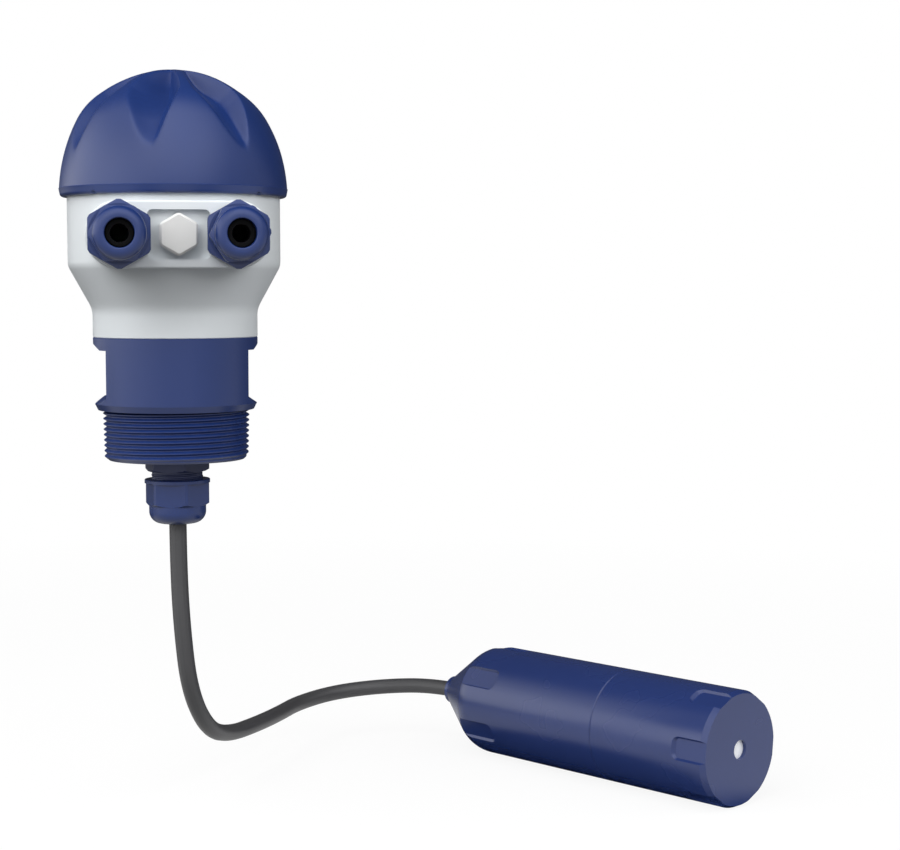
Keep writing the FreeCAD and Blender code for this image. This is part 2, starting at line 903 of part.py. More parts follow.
cap_seal = size("cap_seal_r")
seal_z = shoulder_z + size("seal_gap") + cap_seal
step_z = seal_z + cap_seal + size("seal_gap")
thread_bore = mouth_r + size("cap_thread_gap")
skirt_bore = barrel_r + size("cap_skirt_gap")
headroom = size("cap_headroom")
room_start, room_arcs = dome_corners(size("cap_wall"))
cap_room = turned(
    "cap_inside",
    [
        (0, mouth_top - headroom),
        (room_start[0] - size("cap_room_lead"), mouth_top - headroom),
        room_arcs[0][:2],
    ]
    + room_arcs[1:],
    spin=ridge_azimuth,
)
scoops(cap_room, size("cap_wall"))
cap_thread = turned(
    "cap_thread_room",
    [
        (0, cap_low - headroom),
        (skirt_bore, cap_low - headroom),
        (skirt_bore, step_z),
        (thread_bore, step_z),
        (thread_bore, mouth_top + headroom),
        (0, mouth_top + headroom),
    ],
)
rooms = doc.addObject("Part::MultiFuse", "cap_rooms")
rooms.Shapes = [cap_room, cap_thread]
dome_cap = doc.addObject("Part::Cut", "dome_cap")
dome_cap.Label = "dome_cap"
dome_cap.Base = cap_solid
dome_cap.Tool = rooms
doc.recompute()
nodes.append(dome_cap)
nodes.append(o_ring("cap_o_ring", mouth_r + size("seal_gap") + cap_seal, cap_seal, (0, 0, seal_z)))


# A cable gland along its own axis, from the face it is screwed against.
def gland(prefix, kind, base, turn, seal_r, mouth_r):
    gasket = size("gasket")
    flats = size(f"{kind}_flats")
    corner_r = flats / 2 + size(f"{kind}_corner")
    hex_end = gasket + size(f"{kind}_hex")
    neck_r = size(f"{kind}_neck_r")
    neck_end = size(f"{kind}_neck_end")
    bore_r = neck_r - size(f"{kind}_neck_wall")
    throat_r = bore_r - size("throat_step")
    seat = neck_end - size("seat_depth")
    shank_r = size(f"{kind}_shank_r")
    shank_low = -size(f"{kind}_shank")
    edge = size("gland_chamfer")
    body = turned(
        f"{prefix}_gland_body",
        [
            (throat_r, shank_low),
            (shank_r - edge, shank_low),
            (shank_r, shank_low + edge),
            (shank_r, gasket),
            (corner_r, gasket),
            (corner_r, hex_end - size("hex_bevel_rise")),
            (corner_r - size("hex_bevel"), hex_end),
            (neck_r, hex_end),
            (neck_r, neck_end - edge),
            (neck_r - edge, neck_end),
            (bore_r, neck_end),
            (bore_r, seat),
            (throat_r, seat),
        ],
        base,
        turn,
    )
    hex_flats(body, "flat", flats, gasket, hex_end, corner_r, size(f"{prefix}_body_spin"))
    washer_inner = shank_r + size("bore_clearance")
    washer_outer = flats / 2 - size("gasket_inset")
    washer = turned(
        f"{prefix}_gland_gasket",
        [(washer_inner, 0), (washer_outer, 0), (washer_outer, gasket), (washer_inner, gasket)],
        base,
        turn,
    )
    gap = size("gland_gap")
    rim = neck_end + gap
    flange = rim + size("seal_flange")
    tip = flange + size("seal_cone")
    seal = turned(
        f"{prefix}_gland_seal",
        [
            (seal_r, seat + gap),
            (bore_r - gap, seat + gap),
            (bore_r - gap, rim),
            (neck_r - gap * 2, rim),
            (neck_r - gap * 2, flange),
            (seal_r + size("seal_cone_wall"), tip),
            (seal_r, tip),
        ],
        base,
        turn,
    )
    start = size(f"{kind}_nut_start")
    hex_high = size(f"{kind}_nut_hex_end")
    end = size(f"{kind}_nut_end")
    nut_bore = neck_r + size("nut_thread_gap")
    half_flats = nut_bore + size(f"{kind}_nut_wall")
    nut_corner = half_flats + size(f"{kind}_nut_corner")
    ring_r = half_flats + size(f"{kind}_nut_ring")
    crown_r = half_flats + size(f"{kind}_dome_step")
    ring_end = start + size("nut_ring")
    roof = flange + size("nut_roof_gap")
    bevel_low = hex_high + gap - size("nut_bevel")
    nut = turned(
        f"{prefix}_gland_nut",
        [
            (nut_bore, start),
            (ring_r - gap, start),
            (ring_r, start + gap),
            (ring_r, ring_end),
            (nut_corner, ring_end),
            (nut_corner, bevel_low),
            (crown_r, hex_high + gap),
            (crown_r, end),
            (mouth_r, end),
            (mouth_r, roof + size("nut_roof_rise")),
            (nut_bore, roof),
        ],
        base,
        turn,
    )
    hex_flats(nut, "flat", half_flats * 2, ring_end, hex_high + gap, nut_corner, size(f"{prefix}_nut_spin"))
    round_ring(nut, "dome", crown_r, end, size(f"{kind}_dome_round"))
    round_ring(nut, "mouth", mouth_r, end, size("mouth_round"))
    nodes.extend([body, washer, seal, nut])


outward = Rotation(Vector(1, 0, 0), 90)
downward = Rotation(Vector(1, 0, 0), 180)
front_seal = size("front_seal_r")
front_mouth = size("front_mouth_r")
cable_r = size("cable_r")
lower_seal = cable_r + size("cable_clearance")
lower_mouth = cable_r + size("cable_room")
gland("left", "front", (-side, -pad_face, pad_z), outward, front_seal, front_mouth)
gland("right", "front", (side, -pad_face, pad_z), outward, front_seal, front_mouth)
gland("bottom", "lower", (0, 0, -thread), downward, lower_seal, lower_mouth)

# Vent plug in the recess, drilled from its inner end.
head = size("plug_head")
plug_low = -size("plug_shank")
plug_r = size("plug_shank_r")
plug_groove_r = plug_r - size("plug_groove_depth")
plug_corner = size("plug_corner_r")
crown = head - size("plug_crown")
recess_y = -pad_face + size("recess_depth")
plug = turned(
    "vent_plug",
    [
        (size("plug_vent_r"), plug_low),
        (plug_r, plug_low),
        (plug_r, -size("plug_groove")),
        (plug_groove_r, -size("plug_groove")),
        (plug_groove_r, 0),
        (plug_corner, 0),
        (plug_corner, head),
        (0, head),
        (0, crown),
        (size("plug_vent_r"), crown),
    ],
    (0, recess_y, pad_z),
    outward,
)
hex_flats(plug, "flat", size("plug_flats"), no_wall, head, plug_corner)
chamfer(plug, "edge", level_edges(plug.Tip.Shape, head), size("plug_edge"))
nodes.append(plug)
vent_seal = seal_in_groove(plug_groove_r, plug_hole)
nodes.append(o_ring("vent_o_ring", *vent_seal, (0, recess_y + size("plug_groove") / 2, pad_z), outward))

# Terminal board on the housing's ledge, with two blocks of terminals.
board_r = chamber_r - size("board_gap")
board_hole = size("board_hole_r")
board_thick = size("board_thickness")
board_top = ledge_z + board_thick
nodes.append(
    turned(
        "terminal_board",
        [(board_hole, 0), (board_r, 0), (board_r, board_thick), (board_hole, board_thick)],
        (0, 0, ledge_z),
    )
)
half_w = size("block_width") / 2
half_l = size("block_length") / 2
well_pitch = size("block_length") / 3
for label, hand in (("terminal_block_left", -1), ("terminal_block_right", 1)):
    terminal = new_body(label, ((size("block_inner_x") + half_w) * hand, 0, board_top))
    base_sketch = new_sketch(terminal, "base", "XY_Plane")
    outline(base_sketch, box_outline(-half_w, half_w, -half_l, half_l))
    pad(terminal, "block", base_sketch, size("block_height"))
    entry_sketch = new_sketch(terminal, "entry_outline", "YZ_Plane", half_w * -hand)
    well_sketch = new_sketch(terminal, "well_outline", "XY_Plane", size("block_height"))
    for step in (-1, 0, 1):
        y = well_pitch * step if step else 0
        circle(entry_sketch, y, size("entry_rise"), size("entry_r"))
        circle(well_sketch, 0, y, size("well_r"))
    pocket(terminal, "entries", entry_sketch, size("block_width") * size("entry_share"))
    pocket(terminal, "wells", well_sketch, size("well_depth"))
    nodes.append(terminal)

# Probe, drawn along its own axis from the tail tip.
yaw = Rotation(Vector(0, 0, 1), sizes["probe_yaw"])
along = yaw.multiply(Rotation(Vector(1, 0, 0), 90))
tail = (size("probe_tail_x"), size("probe_tail_y"), size("probe_axis_z"))
probe_r = size("probe_r")
probe_bore = probe_r - size("probe_wall")
full = size("probe_length")
seam = full - size("nose_length")
boss_r = cable_r + size("boss_wall")
cone_r = probe_r - size("tail_fall")
cone_end = size("tail_cone_end")
shoulder_end = size("shoulder_end")
run = shoulder_end - cone_end
shoulder_r = (size("tail_fall") * size("tail_fall") + run * run) / (size("tail_fall") * 2)
tail_hole = cable_r + size("cable_clearance")
tail_seal_r = cable_r + size("tail_seal_wall")
tail_low = size("tail_seal_start")
tail_high = size("tail_seal_end")
joint_break = size("joint_break")


def on_axis(distance):
    tip = Vector(*[number_of(part) for part in tail])
    return tip + along.multVec(Vector(0, 0, number_of(distance)))


# Wrench slots round the probe, open to the end that they are next to.
def wrench_slots(body, low, high):
    half = size("slot_width") / 2
    sketch = new_sketch(body, "slot_outline", "XZ_Plane", probe_r - size("slot_depth"))
    outline(sketch, rounded_box(-half, half, low, high, size("slot_corner")))
    first = pocket(body, "slot", sketch, size("slot_depth") * 2, away=True)
    set_size(first, "TaperAngle", size("slot_bevel"))
    doc.recompute()
    return polar(body, "slots", first, size("slot_count"))


rear = turned(
    "probe_rear_body",
    [
        (tail_hole, 0),
        (boss_r - size("boss_chamfer"), 0),
        (boss_r, size("boss_chamfer")),
        (boss_r, size("boss_length")),
        (cone_r, cone_end),
        (probe_r, shoulder_end, shoulder_r, -1),
        (probe_r, seam - joint_break),
        (probe_r - joint_break, seam),
        (probe_bore, seam),
        (probe_bore, size("probe_bore_start")),
        (tail_seal_r, tail_high),
        (tail_seal_r, tail_low),
        (tail_hole, tail_low),
    ],
    tail,
    along.multiply(Rotation(Vector(0, 0, 1), sizes["tail_turn"])),
)
slot_low = size("slot_tail_end") - size("slot_length") - size("slot_tail_run")
wrench_slots(rear, slot_low, size("slot_tail_end"))
nodes.append(rear)

nose_r = probe_bore - size("nose_fit")
nose_bore = probe_bore - size("nose_wall")
nose_low = seam - size("nose_spigot")
nose_groove_low = nose_low + size("nose_groove_start")
nose_groove_high = nose_groove_low + size("nose_groove")
nose_groove_r = nose_r - size("nose_groove_depth")
cell_bore = size("cell_bore_r")
cell_bore_low = full - size("cell_bore_depth")
port_floor = full - size("port_depth")
nose = turned(
    "probe_front_body",
    [
        (probe_r - joint_break, seam),
        (probe_r, seam + joint_break),
        (probe_r, full - size("face_chamfer_run")),
        (probe_r - size("face_chamfer"), full),
        (size("port_r"), full),
        (size("port_r"), port_floor),
        (cell_bore, port_floor),
        (cell_bore, cell_bore_low),
        (nose_bore, cell_bore_low - size("cell_cone")),
        (nose_bore, nose_low),
        (nose_r, nose_low),
        (nose_r, nose_groove_low),
        (nose_groove_r, nose_groove_low),
        (nose_groove_r, nose_groove_high),
        (nose_r, nose_groove_high),
        (nose_r, seam),
    ],
    tail,
    along.multiply(Rotation(Vector(0, 0, 1), sizes["nose_turn"])),
)
wrench_slots(nose, full - size("slot_length"), full + size("slot_face_run"))
nodes.append(nose)
nose_seal = seal_in_groove(nose_groove_r, probe_bore)
nose_seal_spot = on_axis((nose_groove_low + nose_groove_high) / 2)
nodes.append(o_ring("probe_o_ring", *nose_seal, tuple(nose_seal_spot), along))

# Pressure cell behind the port, with a seal round its front and the ring that holds it.
gap = size("seal_gap")
cell_r = cell_bore - size("cell_fit")
cell_thick = size("cell_thickness")
cell_shelf = cell_thick - size("cell_step")
cell_front_r = size("cell_front_r")
cell_back = port_floor - gap - cell_thick
ring_thick = size("ring_thickness")
ring_back = cell_back - ring_thick
ring_r = cell_bore - size("ring_fit")
ring_hole = size("ring_hole_r")
nodes.append(
    turned(
        "pressure_cell",
        [
            (0, 0),
            (cell_r, 0),
            (cell_r, cell_shelf),
            (cell_front_r, cell_shelf),
            (cell_front_r, cell_thick),
            (0, cell_thick),
        ],
        tuple(on_axis(cell_back)),
        along,
    )
)
cell_seal = seal_in_groove(cell_front_r, cell_bore)
cell_seal_spot = on_axis(port_floor - gap - cell_seal[1])
nodes.append(o_ring("cell_o_ring", *cell_seal, tuple(cell_seal_spot), along))
nodes.append(
    turned(
        "cell_retaining_ring",
        [(ring_hole, 0), (ring_r, 0), (ring_r, ring_thick), (ring_hole, ring_thick)],
        tuple(on_axis(ring_back)),
        along,
    )
)

# Probe electronics on one board, with a ribbon to the cell.
across = along.multVec(Vector(1, 0, 0))
upward = along.multVec(Vector(0, 1, 0)) * sizes["board_thickness"]
board_half = probe_bore - size("probe_board_gap")
board_start = size("probe_bore_start") + size("probe_board_lead")
board_run = nose_low - board_start - size("probe_board_end")
board_spot = on_axis(board_start) - across * board_half.value
nodes.append(block("probe_board", board_half * 2, board_thick, board_run, tuple(board_spot), along))
module_width = size("module_width")
module_spot = on_axis(board_start + size("module_lead")) - across * (module_width.value / 2) + upward
module_run = board_run * size("module_share")
nodes.append(
    block("signal_module", module_width, size("module_height"), module_run, tuple(module_spot), along)
)
ribbon_width = size("ribbon_width")
ribbon_start = board_start + board_run - size("ribbon_lap")
ribbon_spot = on_axis(ribbon_start) - across * (ribbon_width.value / 2) + upward
ribbon_run = cell_back - ribbon_start
nodes.append(
    block("cell_ribbon", ribbon_width, size("ribbon_thickness"), ribbon_run, tuple(ribbon_spot), along)
)

# Grommet and clamp round the cable, one behind the other in the tail.
grip = cable_r + size("cable_grip")
grommet_r = tail_seal_r - size("tail_fit")
grommet_low = tail_low + size("tail_gap")
grommet_high = tail_low + size("grommet_length")
clamp_low = grommet_high + size("tail_gap")
clamp_high = tail_high - size("clamp_inset")
for label, low, high in (
    ("probe_cable_seal", grommet_low, grommet_high),
    ("probe_cable_clamp", clamp_low, clamp_high),
):
    corners = [(grip, low), (grommet_r, low), (grommet_r, high), (grip, high)]
    nodes.append(turned(label, corners, tail, along))

# Cable. It leaves the bottom gland straight down and enters the probe's tail along the axis.
joint_z = number_of(size("cable_joint_rise") - thread - size("lower_nut_end"))
cable_points = [
    Vector(0, 0, joint_z),
    Vector(0, 0, joint_z - sizes["cable_straight"]),
    Vector(1.2, -1.5, -92.0),
    Vector(4.2, 1.5, -119.5),
    Vector(12.5, 18.5, -140.0),
    Vector(23.0, 43.0, -148.0),
    Vector(36.9, 65.7, -149.2),
    Vector(49.4, 90.3, -150.3),
    Vector(60.5, 115.5, -151.2),
    Vector(80.5, 132.0, -150.0),
    Vector(106.3, 133.5, -148.2),
    on_axis(-size("cable_tail_lead")),
    on_axis(size("cable_tail_depth")),
]
nodes.append(tube("sensor_cable", cable_r, cable_points))
jacket_top = ledge_z - size("jacket_drop")
nodes.append(rod("cable_head_end", cable_r, jacket_top - joint_z, (0, 0, joint_z)))
tail_depth = size("cable_tail_depth")
stub = tail_high + size("cell_cone") - tail_depth
nodes.append(rod("cable_probe_end", cable_r, stub, tuple(on_axis(tail_depth)), along))

# Cores from the jacket's end through the board to the terminals, and the air tube beside them.
core_low = jacket_top.value
core_high = number_of(board_top + size("entry_rise"))
for label, hand in (("supply_core", -1), ("signal_core", 1)):
    beside = sizes["core_side"] * hand
    reach = number_of(size("block_inner_x") + size("core_grip")) * hand
    corners = [Vector(beside, 0, core_low), Vector(beside, 0, core_high), Vector(reach, 0, core_high)]
    nodes.append(tube(label, size("core_r"), corners))
air_y = sizes["air_tube_side"]
air_bend = core_high + sizes["air_tube_bend"]
air_points = [
    Vector(0, air_y, core_low),
    Vector(0, air_y, air_bend),
    Vector(0, sizes["air_tube_reach"], core_high + sizes["air_tube_rise"]),
]
nodes.append(tube("air_tube", size("air_tube_r"), air_points))

doc.recompute()
for item in doc.Objects:
    if "Invalid" in item.State or "Error" in item.State:
        raise ValueError(f"{item.Name} is in error")
for item in nodes:
    if item.Shape.isNull() or not item.Shape.isValid():
        raise ValueError(f"{item.Label} has no valid shape")
os.makedirs("parts", exist_ok=True)
for item in nodes:
    item.Shape.exportStep(f"parts/{item.Label}.step")
    box = item.Shape.BoundBox
    spans = [round(v, 1) for v in (box.XMin, box.XMax, box.YMin, box.YMax, box.ZMin, box.ZMax)]
    print(item.Label, len(item.Shape.Solids), round(item.Shape.Volume), spans)
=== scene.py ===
import bpy
import json
import math
from mathutils import Matrix, Vector


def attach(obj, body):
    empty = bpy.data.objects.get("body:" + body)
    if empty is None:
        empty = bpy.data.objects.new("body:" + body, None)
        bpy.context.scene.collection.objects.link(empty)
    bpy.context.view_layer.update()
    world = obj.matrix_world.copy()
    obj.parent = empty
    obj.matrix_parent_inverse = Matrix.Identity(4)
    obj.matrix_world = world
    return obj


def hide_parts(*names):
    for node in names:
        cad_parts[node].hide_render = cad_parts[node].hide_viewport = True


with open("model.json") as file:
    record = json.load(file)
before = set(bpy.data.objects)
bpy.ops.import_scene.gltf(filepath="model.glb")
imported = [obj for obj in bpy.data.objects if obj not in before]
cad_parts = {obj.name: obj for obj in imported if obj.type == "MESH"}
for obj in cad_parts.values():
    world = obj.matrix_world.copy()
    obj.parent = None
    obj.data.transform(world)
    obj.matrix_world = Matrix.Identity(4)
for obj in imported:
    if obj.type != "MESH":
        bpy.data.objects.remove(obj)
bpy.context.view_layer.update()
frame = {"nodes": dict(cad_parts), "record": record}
mm = 0.001
inch = 25.4  # in mm
mergeGap = 0.002 * mm
shadeAngle = math.radians(24)
print("frame loaded:", len(frame["nodes"]), "nodes")


# sRGB hex to linear
def hexColour(code):
    parts = [int(code[i:i + 2], 16) / 255 for i in (1, 3, 5)]
    linear = [p / 12.92 if p <= 0.04045 else ((p + 0.055) / 1.055) ** 2.4 for p in parts]
    return (*linear, 1.0)


# one node with its settings and its inputs, which are values or links
def addNode(tree, kind, inputs=None, **settings):
    node = tree.nodes.new(kind)
    for name, value in settings.items():
        setattr(node, name, value)
    for name, value in (inputs or {}).items():
        if isinstance(value, bpy.types.NodeSocket):
            tree.links.new(value, node.inputs[name])
        else:
            node.inputs[name].default_value = value
    return node


# a value that goes from one span to another and stops at its ends
def remap(tree, value, span=(0.0, 1.0), result=(0.0, 1.0)):
    return addNode(tree, "ShaderNodeMapRange", {
        "Value": value, "From Min": span[0], "From Max": span[1],
        "To Min": result[0], "To Max": result[1]}).outputs["Result"]


# a colour between two, by a value
def blend(tree, value, low, high, span=(0.0, 1.0)):
    ramp = addNode(tree, "ShaderNodeValToRGB", {"Fac": value})
    for element, code, position in zip(ramp.color_ramp.elements, (low, high), span):
        element.position = position
        element.color = hexColour(code)
    return ramp.outputs["Color"]


def newMaterial(name):
    material = bpy.data.materials.new(name)
    material.use_nodes = True
    material.node_tree.nodes.clear()
    return material, material.node_tree


# noise repeats per metre for a grain of this many mm
def grain(sizeMm):
    return 1 / (sizeMm * mm)


cloudNoise = {"Detail": 4.0, "Roughness": 0.55}
textureNoise = {"Detail": 2.0, "Roughness": 0.6}
lineNoise = {"Scale": 1.0, "Detail": 3.0, "Roughness": 0.6}
plainSpecular = 0.5


# moulded plastic: a cloudy tone, a roughness that wanders and the fine texture of the mould
def mouldedPlastic(name, look):
    material, tree = newMaterial(name)
    spot = addNode(tree, "ShaderNodeTexCoord").outputs["Object"]
    cloud = addNode(tree, "ShaderNodeTexNoise", {
        **cloudNoise, "Vector": spot, "Scale": grain(look["cloudMm"]),
        "Detail": look.get("detail", cloudNoise["Detail"])}).outputs["Fac"]
    texture = addNode(tree, "ShaderNodeTexNoise", {
        **textureNoise, "Vector": spot, "Scale": grain(look["textureMm"])}).outputs["Fac"]
    bump = addNode(tree, "ShaderNodeBump", {
        "Strength": look["bump"], "Distance": look["depthMm"] * mm, "Height": texture})
    surface = addNode(tree, "ShaderNodeBsdfPrincipled", {
        "Base Color": blend(tree, cloud, look["low"], look["high"]),
        "Roughness": remap(tree, cloud, result=look["roughness"]),
        "IOR": look["ior"], "Specular IOR Level": look.get("specular", plainSpecular),
        "Normal": bump.outputs["Normal"]})
    addNode(tree, "ShaderNodeOutputMaterial", {"Surface": surface.outputs["BSDF"]})
    return material


# blue PVC, moulded satin: deep blue in the shade, hazy where it faces the light
bluePvc = mouldedPlastic("bluePvcSatin", {
    "low": "#162D64", "high": "#1A316A", "cloudMm": 26, "roughness": (0.31, 0.37),
    "textureMm": 0.5, "bump": 0.12, "depthMm": 0.05, "ior": 1.53})
# the same PVC turned and polished on the probe, where it shows a clearer streak of light
polishedPvc = mouldedPlastic("bluePvcPolished", {
    "low": "#203165", "high": "#24356A", "cloudMm": 26, "roughness": (0.25, 0.29),
    "textureMm": 0.6, "bump": 0.004, "depthMm": 0.04, "ior": 1.53, "detail": 2.0})
# white ABS, moulded with a fine spark-eroded texture
whiteAbs = mouldedPlastic("whiteAbsSatin", {
    "low": "#DCE1E4", "high": "#E3E8EB", "cloudMm": 30, "roughness": (0.42, 0.50),
    "textureMm": 0.5, "bump": 0.10, "depthMm": 0.05, "ior": 1.5})
# natural nylon of the vent plug, a little warmer and duller
naturalNylon = mouldedPlastic("naturalNylon", {
    "low": "#D9D9D7", "high": "#E0E0DE", "cloudMm": 12, "roughness": (0.45, 0.55),
    "textureMm": 0.4, "bump": 0.12, "depthMm": 0.04, "ior": 1.5})
# the lower gland's blue PVC, painted darker and greyer for the shade it sits in under the adapter, nearly
# grey where it faces the light
shadeDarkenedPvc = mouldedPlastic("shadeDarkenedPvc", {
    "low": "#1D274C", "high": "#232D53", "cloudMm": 10, "roughness": (0.45, 0.55),
    "textureMm": 0.4, "bump": 0.15, "depthMm": 0.05, "ior": 1.5})
# black nitrile rubber, moulded and dull
blackRubber = mouldedPlastic("blackNitrile", {
    "low": "#060607", "high": "#0B0B0C", "cloudMm": 8, "roughness": (0.7, 0.85),
    "textureMm": 0.3, "bump": 0.2, "depthMm": 0.05, "ior": 1.5, "specular": 0.2})
# alumina ceramic, ground and faintly blue
aluminaCeramic = mouldedPlastic("aluminaGround", {
    "low": "#F6F9FF", "high": "#FCFDFF", "cloudMm": 6, "roughness": (0.25, 0.32),
    "textureMm": 0.2, "bump": 0.08, "depthMm": 0.02, "ior": 1.7})
# glass-fibre board under green solder mask
greenBoard = mouldedPlastic("solderMaskGreen", {
    "low": "#0F4A2A", "high": "#155A33", "cloudMm": 9, "roughness": (0.25, 0.35),
    "textureMm": 0.4, "bump": 0.1, "depthMm": 0.03, "ior": 1.5})
# green polyamide of the terminal blocks
greenPolyamide = mouldedPlastic("greenPolyamide", {
    "low": "#3C7A4A", "high": "#448452", "cloudMm": 9, "roughness": (0.45, 0.55),
    "textureMm": 0.4, "bump": 0.12, "depthMm": 0.04, "ior": 1.5})
# red PVC of the supply core
redInsulation = mouldedPlastic("redPvcInsulation", {
    "low": "#9A1414", "high": "#A81A1A", "cloudMm": 5, "roughness": (0.35, 0.45),
    "textureMm": 0.3, "bump": 0.08, "depthMm": 0.02, "ior": 1.53})
# polyethylene air tube, milky
milkyTube = mouldedPlastic("milkyPolyethylene", {
    "low": "#D2D6D8", "high": "#DCE0E2", "cloudMm": 5, "roughness": (0.35, 0.45),
    "textureMm": 0.3, "bump": 0.08, "depthMm": 0.02, "ior": 1.51})


# extruded plastic, with faint lines along its length
def extrudedJacket(name, look):
    material, tree = newMaterial(name)
    along = addNode(tree, "ShaderNodeTexCoord").outputs["UV"]
    stretched = addNode(tree, "ShaderNodeMapping", {"Vector": along, "Scale": look["lineScale"]})
    lines = addNode(tree, "ShaderNodeTexNoise", {
        **lineNoise, "Vector": stretched.outputs["Vector"]}).outputs["Fac"]
    bump = addNode(tree, "ShaderNodeBump", {
        "Strength": look["bump"], "Distance": look["depthMm"] * mm, "Height": lines})
    surface = addNode(tree, "ShaderNodeBsdfPrincipled", {
        "Base Color": blend(tree, lines, look["low"], look["high"], look["lineSpan"]),
        "Roughness": remap(tree, lines, look["lineSpan"], look["roughness"]),
        "IOR": look["ior"], "Normal": bump.outputs["Normal"]})
    addNode(tree, "ShaderNodeOutputMaterial", {"Surface": surface.outputs["BSDF"]})
    return material


# polyurethane cable jacket, dull grey
cableJacket = extrudedJacket("polyurethaneJacket", {
    "low": "#3B3B3D", "high": "#454547", "lineScale": (3.0, 26.0, 1.0), "lineSpan": (0.3, 0.7),
    "roughness": (0.42, 0.52), "bump": 0.12, "depthMm": 0.05, "ior": 1.5})
print("materials made")

# the cable's ends are hidden in head and probe, and have no UV for the jacket's lines
finishes = {
    # the lower gland's dark plastic gets the blue PVC with its painted shade
    "blue_plastic": bluePvc, "white_plastic": whiteAbs, "dark_plastic": shadeDarkenedPvc,
    "black_rubber": blackRubber, "cable_jacket": shadeDarkenedPvc, "board_laminate": greenBoard,
    "terminal_plastic": greenPolyamide, "white_ceramic": aluminaCeramic,
    "red_insulation": redInsulation, "black_insulation": blackRubber, "clear_tube": milkyTube}
slotOfNode = {row["node"]: row["material_slot"] for row in frame["record"]["subparts"]}
bodyOfNode = {node: body for body, held in frame["record"]["behaviour"]["bodies"].items() for node in held}


def giveMaterial(piece, material):
    piece.data.materials.clear()
    piece.data.materials.append(material)


# a node's own shape with its facets joined, so that round walls shade as round
def smoothedNode(node, material):
    bpy.ops.object.select_all(action="DESELECT")
    mesh = frame["nodes"][node].data.copy()
    piece = bpy.data.objects.new(f"{node}_surface", mesh)
    bpy.context.scene.collection.objects.link(piece)
    piece.select_set(True)
    bpy.context.view_layer.objects.active = piece
    bpy.ops.object.mode_set(mode="EDIT")
    bpy.ops.mesh.select_all(action="SELECT")
    bpy.ops.mesh.remove_doubles(threshold=mergeGap)
    bpy.ops.mesh.customdata_custom_splitnormals_clear()
    bpy.ops.object.mode_set(mode="OBJECT")
    bpy.ops.object.shade_smooth_by_angle(angle=shadeAngle)
    giveMaterial(piece, material)
    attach(piece, bodyOfNode[node])
    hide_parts(node)


ownFinish = {"vent_plug": naturalNylon, "probe_rear_body": polishedPvc, "probe_front_body": polishedPvc}
modelledHere = ("sensor_cable", "dome_cap")
for node in frame["nodes"]:
    if node not in modelledHere:
        smoothedNode(node, ownFinish.get(node, finishes[slotOfNode[node]]))
print("nodes dressed")


# the active object's outline, wound round the Z axis
def windRound(piece, steps, turns=1, pitch=0.0):
    bpy.ops.object.modifier_add(type="SCREW")
    screw = piece.modifiers[-1]
    screw.axis = "Z"
    screw.angle = math.tau
    screw.screw_offset = pitch
    screw.iterations = turns
    screw.steps = screw.render_steps = steps
    screw.use_merge_vertices = False
    bpy.ops.object.modifier_apply(modifier=screw.name)


# screw cap: one turned wall, with scoops for the fingers pressed down its dome, in mm and degrees
capShape = {
    "low": 86.9, "rimR": 46.6, "footR": 46.2, "footRound": 1.4, "footStep": 15, "bandTop": 90.5,
    "bandStep": 0.2, "wall": 2.8, "draft": 3.3, "sideAngle": 26.7, "shoulderAngle": 51.8, "sideR": 69.5,
    "shoulderR": 31.4, "skirtR": 43.8, "stepZ": 90.7, "threadR": 41.05, "roomZ": 98.0, "roomR": 43.0,
    "steps": 448, "pointsPerArc": 36, "middleZ": 95.0}
capScoop = {
    "count": 7, "azimuth": -107.5, "top": 6.5, "deepest": 24.0, "tip": 59.5, "depth": 7.5,
    "halfWidth": 10.2, "leastWidth": 0.5, "tipShare": 0.68, "widest": 24.0, "ridgeShare": 0.8,
    "aside": 0.5, "floor": 2.4, "edge": 0.7}
capNotch = {"count": 4, "azimuth": 45.0, "width": 2.2, "height": 1.3}


# the dome's three tangent arcs, from its band up to the apex
def domeLine(wall):
    angles = [math.radians(capShape[name]) for name in ("draft", "sideAngle", "shoulderAngle")]
    angles.append(math.pi / 2)
    r = capShape["rimR"] - capShape["bandStep"] - wall * math.cos(angles[0])
    z = capShape["bandTop"] - wall * math.sin(angles[0])
    line = [(r, z)]
    for index, low in enumerate(angles[:-1]):
        high = angles[index + 1]
        # the last arc is as wide as it has to be to end on the axis
        radius = (capShape["sideR"] - wall, capShape["shoulderR"] - wall, r / math.cos(low))[index]
        for step in range(1, capShape["pointsPerArc"] + 1):
            angle = low + (high - low) * step / capShape["pointsPerArc"]
            line.append((r - radius * (math.cos(low) - math.cos(angle)),
                         z + radius * (math.sin(angle) - math.sin(low))))
        r, z = line[-1]
    return line


# the wall's outline in three runs: down the dome, round the foot and up the thread, up the inside
def capOutline():
    low, foot, rounding = capShape["low"], capShape["footR"], capShape["footRound"]
    outside = domeLine(0)[::-1]
    inside = domeLine(capShape["wall"])[capShape["pointsPerArc"]:]
    lower = [(capShape["rimR"], capShape["bandTop"] - capShape["bandStep"])]
    for degrees in range(0, 91, capShape["footStep"]):
        angle = math.radians(degrees)
        lower.append((foot - rounding * (1 - math.cos(angle)), low + rounding * (1 - math.sin(angle))))
    lower += [(capShape["skirtR"], low), (capShape["skirtR"], capShape["stepZ"]),
              (capShape["threadR"], capShape["stepZ"]), (capShape["threadR"], capShape["roomZ"]),
              (capShape["roomR"], capShape["roomZ"])]
    return outside, lower, inside


